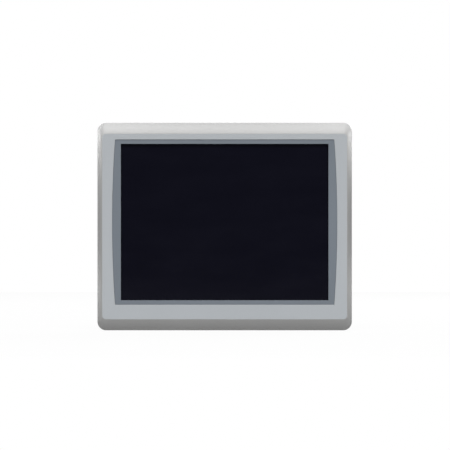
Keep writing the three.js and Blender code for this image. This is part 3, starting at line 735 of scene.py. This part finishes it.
for node_name, (finish, edge) in KEPT.items():
    shape = softened(node_name, edge)
    if node_name in CARVED:
        shape = carve(shape, *CARVED[node_name]())
    look = piece(f"{node_name}_look", shape, body_of(node_name), finish, [node_name])
    flat_shaded_faces(look)


def card_details():
    """A blank paper label in the memory card's panel and gold contacts on its other face."""
    label = card_panel(0.15, 0.14, -0.02, 0.03)
    piece("card_label", label, "memory_card", "white")
    low = box_in_mm("memory_card")[0]
    across = (low.x + 0.8, low.x + 4.2)
    proud = (low.y - 0.03, low.y + 0.1)
    contacts = []
    for k in range(8):
        z = low.z + 1.5 + 2.4 * k
        contacts.append((block(across, proud, (z, z + 1.5), 0.03), IDENTITY))
    piece("card_contacts", merged(contacts), "memory_card", "gold")


card_details()

CAPACITORS = ((-76, -20), (-76, -8), (-42, 0), (60, 52))  # their centres on the board, (x, z)
CAPACITOR_REACH = 4.5
BOARD_BACK = 39.0  # the bare board's rear face, along Y


def finish_board_parts():
    """Chips that stand off the main board are black, and its can capacitors are aluminium."""
    board = bpy.data.objects["main_board_look"].data
    board.materials.append(MATERIALS["black"])
    board.materials.append(MATERIALS["aluminium"])
    for face in board.polygons:
        spot = face.center / MM
        if spot.y < BOARD_BACK + 0.05:
            continue
        near_can = any(math.hypot(spot.x - x, spot.z - z) < CAPACITOR_REACH for x, z in CAPACITORS)
        face.material_index = 2 if near_can else 1


finish_board_parts()

# ---- front: bezel, surround, screen and panel gasket -----------------------------------------

# BEZEL and FACE are (width, height, corner radius) in millimetres.
BEZEL = (263.0, 214.5, 9.0)
FACE = (253.0, 191.5, 4.0)
FACE_FRONT = -9.5
EDGE_FRONT = -4.2
EDGE_BACK = -0.6
CROWN = 0.08  # how far the slopes bulge, as a share of their depth
CROWN_STEPS = 14
VIEW = (214.4, 161.5)
VIEW_Z = 4.6
SURROUND_WIDTH = 226.4
SURROUND_BOW = 3.0
SURROUND_SPAN = (-80.7, 89.9)


def bezel_slope(t):
    """The outline a share t of the way from the flat face to the upright edge."""
    width, height, radius = (a + (b - a) * t for a, b in zip(FACE, BEZEL))
    y = FACE_FRONT + (EDGE_FRONT - FACE_FRONT) * (t - 4 * CROWN * t * (1 - t))
    return loop(width, height, radius, y)


def bowed(inset, y):
    """The surround's outline, whose left and right sides bow outwards."""
    height = SURROUND_SPAN[1] - SURROUND_SPAN[0] - 2 * inset
    centre = (SURROUND_SPAN[0] + SURROUND_SPAN[1]) / 2
    return loop(SURROUND_WIDTH - 2 * inset, height, 0.35, y, centre, SURROUND_BOW)


def window(grow, y):
    """The visible screen's outline, wider by grow on each side."""
    return loop(VIEW[0] + 2 * grow, VIEW[1] + 2 * grow, 0.6, y, VIEW_Z)


def grown(size, grow, y, centre_z=0.0):
    width, height, radius = size
    return loop(width + 2 * grow, height + 2 * grow, max(0.2, radius + grow), y, centre_z)


def bezel_mesh():
    lcd_pocket = (238.5, 179.0, 1.5)
    touch_pocket = (223.0, 169.0, 1.0)
    groove_outer = (257.4, 208.4, 7.0)
    groove_inner = (249.8, 200.8, 3.2)
    ledge_front, ledge_back = -7.9, -6.9
    pocket_depth = -3.5
    groove_depth = -2.2
    slope = [bezel_slope(1 - k / CROWN_STEPS) for k in range(CROWN_STEPS)]
    return bridge(
        [
            grown(BEZEL, -0.35, EDGE_BACK),
            grown(BEZEL, -0.1, EDGE_BACK - 0.1),
            grown(BEZEL, 0.0, EDGE_BACK - 0.35),
            *slope,
            bezel_slope(0.012),
            grown(FACE, -0.12, FACE_FRONT),
            grown(FACE, -0.3, FACE_FRONT),
            bowed(-0.4, FACE_FRONT),
            bowed(-0.1, FACE_FRONT),
            bowed(-0.03, FACE_FRONT + 0.03),
            bowed(0.0, FACE_FRONT + 0.1),
            bowed(0.0, ledge_front),
            window(1.1, ledge_front),
            window(1.1, ledge_back),
            grown(touch_pocket, 0.0, ledge_back, VIEW_Z),
            grown(touch_pocket, 0.0, pocket_depth, VIEW_Z),
            grown(lcd_pocket, 0.0, pocket_depth),
            grown(lcd_pocket, 0.0, EDGE_BACK),
            grown(groove_inner, 0.0, EDGE_BACK),
            grown(groove_inner, 0.0, groove_depth),
            grown(groove_outer, 0.0, groove_depth),
            grown(groove_outer, 0.0, EDGE_BACK),
        ],
        closed=True,
    )


def surround_mesh():
    front, back = -8.9, -7.95
    return bridge(
        [
            bowed(0.06, back),
            bowed(0.06, front + 0.1),
            bowed(0.09, front + 0.03),
            bowed(0.16, front),
            bowed(0.5, front),
            window(0.4, front),
            window(0.12, front),
            window(0.04, front + 0.03),
            window(0.0, front + 0.12),
            window(0.0, back),
        ],
        closed=True,
    )


def film_mesh():
    front, back = -6.3, -6.05
    size = (222.0, 168.0, 1.0)
    return bridge([grown(size, 0, back, VIEW_Z), grown(size, 0, front, VIEW_Z)], closed=False)


def gasket_mesh():
    """A flat strip with two sealing beads on its back."""
    outer = (257.0, 208.0, 6.8)
    width = 3.4
    front = -2.1
    beads = [
        (0.0, front), (0.0, -0.35), (0.25, -0.08), (0.6, 0.0), (1.0, -0.05), (1.35, -0.3),
        (2.05, -0.3), (2.4, -0.05), (2.8, 0.0), (3.15, -0.08), (width, -0.35), (width, front),
    ]
    return bridge([grown(outer, -inset, y) for inset, y in beads], closed=True)


bezel = piece("bezel", bezel_mesh(), "terminal", "bezel", ["front_bezel"], CRISP)
# The flat front face takes the face paint; the slopes keep the darker rim paint, which is painted shade.
bezel.data.materials.append(MATERIALS["face"])
for face in bezel.data.polygons:
    if face.center.y < FACE_FRONT * MM + 0.3 * MM and face.normal.y < -0.99:
        face.material_index = 1
piece("surround", surround_mesh(), "terminal", "surround", ["screen_surround"])
piece("film", film_mesh(), "terminal", "film", ["touch_film"])
piece("seal", gasket_mesh(), "terminal", "rubber", ["panel_gasket"])

# ---- fasteners -------------------------------------------------------------------------------


def rectangle(half_x, half_z, y):
    return [(-half_x, y, -half_z), (half_x, y, -half_z), (half_x, y, half_z), (-half_x, y, half_z)]


def cross_cutters(width, thick, bottom, top):
    """The two tapering bars of a cross recess."""
    wings = []
    for turn in (0, math.pi / 2):
        points = rectangle(width * 0.5, thick * 0.35, bottom) + rectangle(width, thick / 2, top)
        faces = [(0, 1, 2, 3), (7, 6, 5, 4), (0, 4, 5, 1), (1, 5, 6, 2), (2, 6, 7, 3), (3, 7, 4, 0)]
        wing = outward(mesh_of([Vector(p) * MM for p in points], faces))
        wing.transform(Matrix.Rotation(turn, 4, "Y"))
        wings.append(wing)
    return wings


def pan_screw(head, height, shank, length):
    """A pan-head cross-recess screw: underside of the head at Y = 0, shank towards -Y."""
    dome = [(head, 0.0), (head, height * 0.22)]
    for k in range(1, 7):
        angle = k * math.pi / 2 / 6
        r = head * (0.25 + 0.75 * math.cos(angle) ** 0.8)
        dome.append((r, height * (0.22 + 0.78 * math.sin(angle))))
    point = [(0, -length), (shank * 0.6, -length), (shank, -length + 0.8), (shank, 0.0)]
    top = [(head * 0.35, height * 0.99), (0, height)]
    body = lathe([*point, *dome[:-1], *top], 36)
    return carve(body, *cross_cutters(head * 0.55, head * 0.24, height * 0.3, height * 1.3))


def triangle_wave(t):
    return abs(2 * (t % 1) - 1)


def clamp_screw():
    """A slotted, knurled M4 screw with its thread, and the turned tip that sits in the pad."""
    pitch, outer, depth = 0.7, 1.95, 0.42
    thread_from, thread_to = 11.25, 34.5
    per_turn = 6
    rows = int((thread_to - thread_from) / pitch * per_turn)

    def thread(angle, r, y):
        if not thread_from < y < thread_to or r < outer - 0.01:
            return r
        fade = min(1.0, (y - thread_from) / 0.6, (thread_to - y) / 0.3)
        return outer - depth * fade * triangle_wave(y / pitch - angle / TAU)

    threaded = [(outer, thread_from + (thread_to - thread_from) * k / rows) for k in range(rows + 1)]
    tip = [(0, 9.65), (1.1, 9.65), (1.4, 9.95), (1.4, 11.0), (1.75, 11.2)]
    shank = lathe([*tip, *threaded, (0, 34.6)], 24, thread)

    def knurl(angle, r, y):
        return r - 0.09 * (1 + math.cos(30 * angle)) / 2 if 35.0 < y < 37.4 and r > 3 else r

    head = lathe(
        [(0, 34.5), (3.0, 34.5), (3.3, 34.7), (3.3, 34.98), (3.4, 35.05), (3.4, 36.2), (3.4, 37.35),
         (3.3, 37.45), (3.25, 37.8), (3.0, 38.0), (0, 38.0)],
        120, knurl,
    )
    slot = block((-5, 5), (36.6, 39), (-0.5, 0.5), 0)
    return merged([(shank, IDENTITY), (carve(head, slot), IDENTITY)])


def clamp_pad():
    """A foot with a groove round it and a socket for the screw's tip."""
    return lathe(
        [(0, 8.0), (2.5, 8.0), (2.85, 8.12), (3.0, 8.4), (3.0, 9.2), (2.8, 9.35), (2.8, 9.6),
         (3.0, 9.75), (3.0, 10.6), (2.8, 11.0), (1.9, 11.0), (1.7, 10.8), (1.7, 9.5), (0, 9.4)],
        40,
    )


def jack_screw():
    """The hexagonal post beside a serial port, with its hollow mouth, turned about Y."""
    return lathe(
        [(0, -5.1), (1.35, -5.1), (1.35, 0.0), (2.6, 0.0), (2.9, 0.25), (2.9, 4.4), (2.55, 4.9), (1.7, 4.9),
         (1.35, 4.6), (1.35, 1.5), (0, 1.1)],
        60, hexagon,
    )


def ring_washer(bore, rim, thick):
    profile = [
        (bore, 0.1), (bore + 0.1, 0), (rim - 0.1, 0), (rim, 0.1), (rim, thick - 0.1),
        (rim - 0.1, thick), (bore + 0.1, thick), (bore, thick - 0.1), (bore, 0.1),
    ]
    return lathe(profile, 48)


def place(name, mesh, matrix, body, material, node):
    """A copy of a mesh, put where it belongs, that stands for one CAD node."""
    copy = mesh.copy()
    copy.transform(matrix)
    return piece(name, copy, body, material, [node])


def under_head(node, head):
    """Where a screw's head meets what it holds down, for a head that many millimetres high."""
    low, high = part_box(node)
    return Matrix.Translation(((low.x + high.x) / 2, high.y - head * MM, (low.z + high.z) / 2))


SMALL_HEAD = 2.2
EARTH_HEAD = 2.6


def fasteners():
    small = pan_screw(3.0, SMALL_HEAD, 1.2, 34.8)
    cover = pan_screw(2.9, SMALL_HEAD, 1.45, 8.0)
    earth = pan_screw(4.4, EARTH_HEAD, 1.95, 8.0)
    for i in range(1, 5):
        for kind, mesh, material in (("housing_screw", small, "steel"), ("cover_screw", cover, "bright")):
            node = f"{kind}_{i}"
            spot = under_head(node, SMALL_HEAD) @ Matrix.Rotation(0.7 * i, 4, "Y")
            place(f"{kind}_look_{i}", mesh, spot, "terminal", material, node)
    spot = under_head("earth_screw", EARTH_HEAD)
    place("earth_screw_look", earth, spot, "earth_screw", "brass", "earth_screw")
    low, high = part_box("earth_washer")
    spot = Matrix.Translation(((low.x + high.x) / 2, low.y, (low.z + high.z) / 2))
    washer = ring_washer(2.1, 4.6, 1.0)
    place("earth_washer_look", washer, spot, "earth_washer", "bright", "earth_washer")


fasteners()


def clamps():
    screw = clamp_screw()
    pad = clamp_pad()
    for i in range(1, 5):
        centre = centre_of(f"clamp_pad_{i}")
        spot = Matrix.Translation((centre.x, 0, centre.z)) @ Matrix.Rotation(0.5 * i, 4, "Y")
        place(f"clamp_screw_look_{i}", screw, spot, f"clamp_screw_{i}", "bright", f"clamp_screw_{i}")
        place(f"clamp_pad_look_{i}", pad, spot, f"clamp_pad_{i}", "black", f"clamp_pad_{i}")


clamps()

# ---- connectors ------------------------------------------------------------------------------

TO_DOWN = Matrix.Rotation(-math.pi / 2, 4, "X")  # a body turned about Y now points along -Z


def d_outline(half, deep, y_centre, z, radius=1.6):
    """The D of a serial port's shell as a loop of points in the XY plane."""
    corners = [(-half, -deep), (half, -deep), (half - 1.4, deep), (1.4 - half, deep)]
    points = []
    for i, corner in enumerate(corners):
        before = Vector(corners[i - 1]) - Vector(corner)
        after = Vector(corners[(i + 1) % 4]) - Vector(corner)
        start = Vector(corner) + before.normalized() * radius
        end = Vector(corner) + after.normalized() * radius
        for k in range(9):
            t = k / 8
            point = start * (1 - t) ** 2 + 2 * Vector(corner) * t * (1 - t) + end * t ** 2
            points.append(Vector((point.x, y_centre + point.y, z)) * MM)
    return points


SERIAL_X = 52.0
SERIAL_Y = 45.35
SERIAL_PITCH = 2.75


def serial_port():
    x, y = SERIAL_X, SERIAL_Y
    shell = bridge(
        [
            d_outline(8.4, 4.2, y, -57.7),
            d_outline(8.4, 4.2, y, -65.7),
            d_outline(8.25, 4.05, y, -66.0),
            d_outline(8.0, 3.8, y, -66.0),
            d_outline(7.9, 3.7, y, -65.8),
            d_outline(7.9, 3.7, y, -57.7),
        ],
        closed=True,
    )
    shell.transform(at(x, 0, 0))
    flange = block((x - 15.4, x + 15.4), (39.1, 51.6), (-58.5, -57.5), 0.2)
    piece("serial_shell", merged([(shell, IDENTITY), (flange, IDENTITY)]), "terminal", "stamped",
          ["serial_port"])
    core = bridge([d_outline(7.85, 3.65, y, -59.3), d_outline(7.85, 3.65, y, -58.0)], closed=False)
    core.transform(at(x, 0, 0))
    back = block((x - 9.6, x + 9.6), (39.1, 51.2), (-57.6, -48.0), 0.3)
    piece("serial_core", merged([(core, IDENTITY), (back, IDENTITY)]), "terminal", "black")
    pin = lathe([(0, 0), (0.5, 0), (0.5, 4.6), (0.4, 5.0), (0.2, 5.2), (0, 5.25)], 16)
    wide_row = [(x + (k - 2) * SERIAL_PITCH, y - 1.4) for k in range(5)]
    narrow_row = [(x + (k - 1.5) * SERIAL_PITCH, y + 1.4) for k in range(4)]
    spots = wide_row + narrow_row
    pins = merged([(pin, at(px, py, -59.3) @ TO_DOWN) for px, py in spots])
    piece("serial_pins", pins, "terminal", "gold")
    for i in (1, 2):
        node = f"serial_jack_screw_{i}"
        centre = centre_of(node)
        spot = Matrix.Translation((centre.x, centre.y, -60.1 * MM)) @ TO_DOWN
        place(f"jack_screw_look_{i}", jack_screw(), spot, "terminal", "brass", node)


serial_port()


def ethernet_details():
    x = centre_of("ethernet_jack").x / MM
    contacts = []
    for k in range(8):
        cx = x + (k - 3.5) * 1.02
        wide = (cx - 0.18, cx + 0.18)
        contacts.append((block(wide, (41.5, 41.9), (-59.6, -48.5), 0.05), IDENTITY))
        slope = block(wide, (41.9, 42.25), (-59.4, -50.0), 0.05)
        tilt = at(0, 41.9, -59.4) @ Matrix.Rotation(math.radians(12), 4, "X") @ at(0, -41.9, 59.4)
        contacts.append((slope, tilt))
    piece("ethernet_contacts", merged(contacts), "terminal", "gold")
    lights = []
    for side in (-1, 1):
        cx = x + side * 6.6
        lights.append((block((cx - 0.9, cx + 0.9), (50.4, 51.9), (-60.95, -60.3), 0.2), IDENTITY))
    piece("ethernet_lights", merged(lights), "terminal", "clear")


ethernet_details()


def usb_details():
    contacts = []
    for i in (1, 2):
        x = centre_of(f"usb_port_{i}").x / MM
        for k in range(4):
            cx = x + (k - 1.5) * 2.4
            contact = block((cx - 0.45, cx + 0.45), (42.6, 42.75), (-59.3, -51.5), 0.04)
            contacts.append((contact, IDENTITY))
    piece("usb_contacts", merged(contacts), "terminal", "gold")


usb_details()


TERMINAL_PITCH = 5.08


def power_details():
    x = centre_of("power_plug").x / MM
    screw = lathe([(0, 0), (1.9, 0), (1.9, 3.3), (1.7, 3.6), (0, 3.6)], 32)
    slotted = carve(screw, block((-3, 3), (2.5, 5), (-0.35, 0.35), 0))
    cages = []
    for i in (1, 2, 3):
        cx = x + (i - 2) * TERMINAL_PITCH
        node = f"terminal_screw_{i}"
        spot = at(cx, 47.8, -68.0) @ Matrix.Rotation(0.9 * i, 4, "Y")
        place(f"terminal_screw_look_{i}", slotted, spot, node, "bright", node)
        for plate in ((42.65, 43.15), (46.0, 46.55)):
            cages.append((block((cx - 1.65, cx + 1.65), plate, (-73.5, -67.2), 0.1), IDENTITY))
    piece("terminal_cages", merged(cages), "power_plug", "bright")


power_details()

# ---- battery and reset button ----------------------------------------------------------------


def battery_details():
    centre = centre_of("coin_cell")
    spot = Matrix.Translation((centre.x, 0, centre.z))
    cell = lathe(
        [(0, 48.0), (8.6, 48.0), (8.8, 48.2), (8.8, 48.5), (9.7, 48.5), (10.0, 48.8), (10.0, 50.9),
         (9.75, 51.15), (8.9, 51.2), (8.7, 51.12), (0, 51.12)],
        64,
    )
    place("coin_cell_look", cell, spot, "terminal", "steel", "coin_cell")
    holder = lathe(
        [(0, 39.1), (12.0, 39.1), (12.4, 39.5), (12.4, 52.4), (12.0, 52.8), (11.0, 52.8),
         (10.6, 52.4), (10.6, 47.8), (0, 47.8)],
        64,
    )
    holder.transform(spot)
    x, z = centre.x / MM, centre.z / MM
    notch = block((x + 4, x + 14), (47.9, 54), (z - 5, z + 5), 0)
    shape = carve(holder, notch)
    piece("battery_holder_look", shape, "terminal", "black", ["battery_holder"])


battery_details()


def reset_button():
    centre = centre_of("reset_button")
    low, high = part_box("reset_button")
    length = (high.x - low.x) / MM
    cap = lathe(
        [(0, 0), (2.2, 0), (2.2, 1.4), (2.0, 1.6), (1.5, 1.6), (1.5, length - 0.4), (1.35, length - 0.12),
         (1.0, length - 0.05), (0.5, length - 0.25), (0, length - 0.3)],
        32,
    )
    spot = Matrix.Translation((low.x, centre.y, centre.z)) @ Matrix.Rotation(-math.pi / 2, 4, "Z")
    place("reset_button_look", cap, spot, "reset_button", "green", "reset_button")


reset_button()

# ---- stage: floor, world and lights ----------------------------------------------------------


def make_floor():
    x, front, back = 2.0, -0.8, 2.2
    z = CAD_BOX[0].z
    mesh = mesh_of([(-x, front, z), (x, front, z), (x, back, z), (-x, back, z)], [(0, 1, 2, 3)])
    floor = bpy.data.objects.new("floor", mesh)
    bpy.context.scene.collection.objects.link(floor)
    g = Graph("floor")
    g.shader.inputs["Base Color"].default_value = (0.3, 0.3, 0.3, 1)
    g.shader.inputs["Roughness"].default_value = 0.9
    g.shader.inputs["Specular IOR Level"].default_value = 0.1
    glow = g.add("ShaderNodeEmission")
    glow.inputs["Strength"].default_value = 1.1
    path = g.add("ShaderNodeLightPath")
    both = g.add("ShaderNodeMixShader")
    share = g.math("MULTIPLY", path.outputs["Is Camera Ray"], 0.85)
    g.link(share, both.inputs[0])
    g.link(g.shader.outputs[0], both.inputs[1])
    g.link(glow.outputs[0], both.inputs[2])
    g.link(both.outputs[0], g.tree.nodes["Material Output"].inputs["Surface"])
    mesh.materials.append(g.material)


ROOM_GRADIENT = (-0.05, 0.8, 0.05, 0.9)  # from and to along +Y, and the strength at each


def make_world():
    """White to the camera; to everything else a room that is dark in front, so that the screen
    mirrors nothing, and light above, beside and behind."""
    world = bpy.data.worlds.new("studio")
    bpy.context.scene.world = world
    world.use_nodes = True
    tree = world.node_tree
    room = tree.nodes["Background"]
    room.inputs["Color"].default_value = (1, 1, 1, 1)
    direction = tree.nodes.new("ShaderNodeTexCoord")
    parts = tree.nodes.new("ShaderNodeSeparateXYZ")
    level = tree.nodes.new("ShaderNodeMapRange")
    for socket, number in zip(level.inputs[1:5], ROOM_GRADIENT):
        socket.default_value = number
    tree.links.new(direction.outputs["Generated"], parts.inputs[0])
    tree.links.new(parts.outputs["Y"], level.inputs[0])
    tree.links.new(level.outputs[0], room.inputs["Strength"])
    white = tree.nodes.new("ShaderNodeBackground")
    white.inputs["Color"].default_value = (1, 1, 1, 1)
    white.inputs["Strength"].default_value = 1.0
    path = tree.nodes.new("ShaderNodeLightPath")
    both = tree.nodes.new("ShaderNodeMixShader")
    tree.links.new(path.outputs["Is Camera Ray"], both.inputs[0])
    tree.links.new(room.outputs[0], both.inputs[1])
    tree.links.new(white.outputs[0], both.inputs[2])
    tree.links.new(both.outputs[0], tree.nodes["World Output"].inputs["Surface"])


def aim(light, place_at, target):
    light.location = place_at
    light.rotation_euler = (Vector(target) - Vector(place_at)).to_track_quat("-Z", "Y").to_euler()
    light.visible_camera = False
    bpy.context.scene.collection.objects.link(light)


def area_light(name, place_at, target, size, power, spread=180):
    data = bpy.data.lights.new(name, "AREA")
    data.spread = math.radians(spread)
    data.shape = "RECTANGLE"
    data.size, data.size_y = size
    data.energy = power
    aim(bpy.data.objects.new(name, data), place_at, target)


def rim_light(name, side, height, size, power, spread):
    """A small lamp level with its target and behind the flat face, so that it grazes the side slope."""
    area_light(f"{name}_{side}", (side * 0.4, 0.06, height), (side * 0.13, 0, height), size, power, spread)


def make_lights():
    area_light("key", (0, -7.5, 9.5), (0, 0, 0), (8.0, 4.5), 1340)
    for side in (-1, 1):
        area_light(f"fill_{side}", (side * 1.5, -2.0, 0.25), (0, 0, -0.05), (0.6, 0.6), 12.7)
        rim_light("upper", side, 0.15, (0.1, 0.06), 0.048, 44)
        corner = (side * 0.131, -0.004, 0.106)
        area_light(f"corner_{side}", (side * 0.34, 0.02, 0.31), corner, (0.04, 0.04), 0.009, 22)
        rim_light("lower", side, -0.063, (0.1, 0.02), 0.0017, 20)
    area_light("rear", (0.6, 1.5, 1.0), (0, 0, 0), (1.2, 0.8), 13)
    area_light("back_left", (-1.3, 1.0, 0.3), (0, 0, 0), (0.8, 0.8), 2.5)


make_floor()
make_world()
make_lights()

scene = bpy.context.scene
scene.view_settings.view_transform = "Standard"
scene.view_settings.look = "None"

import json
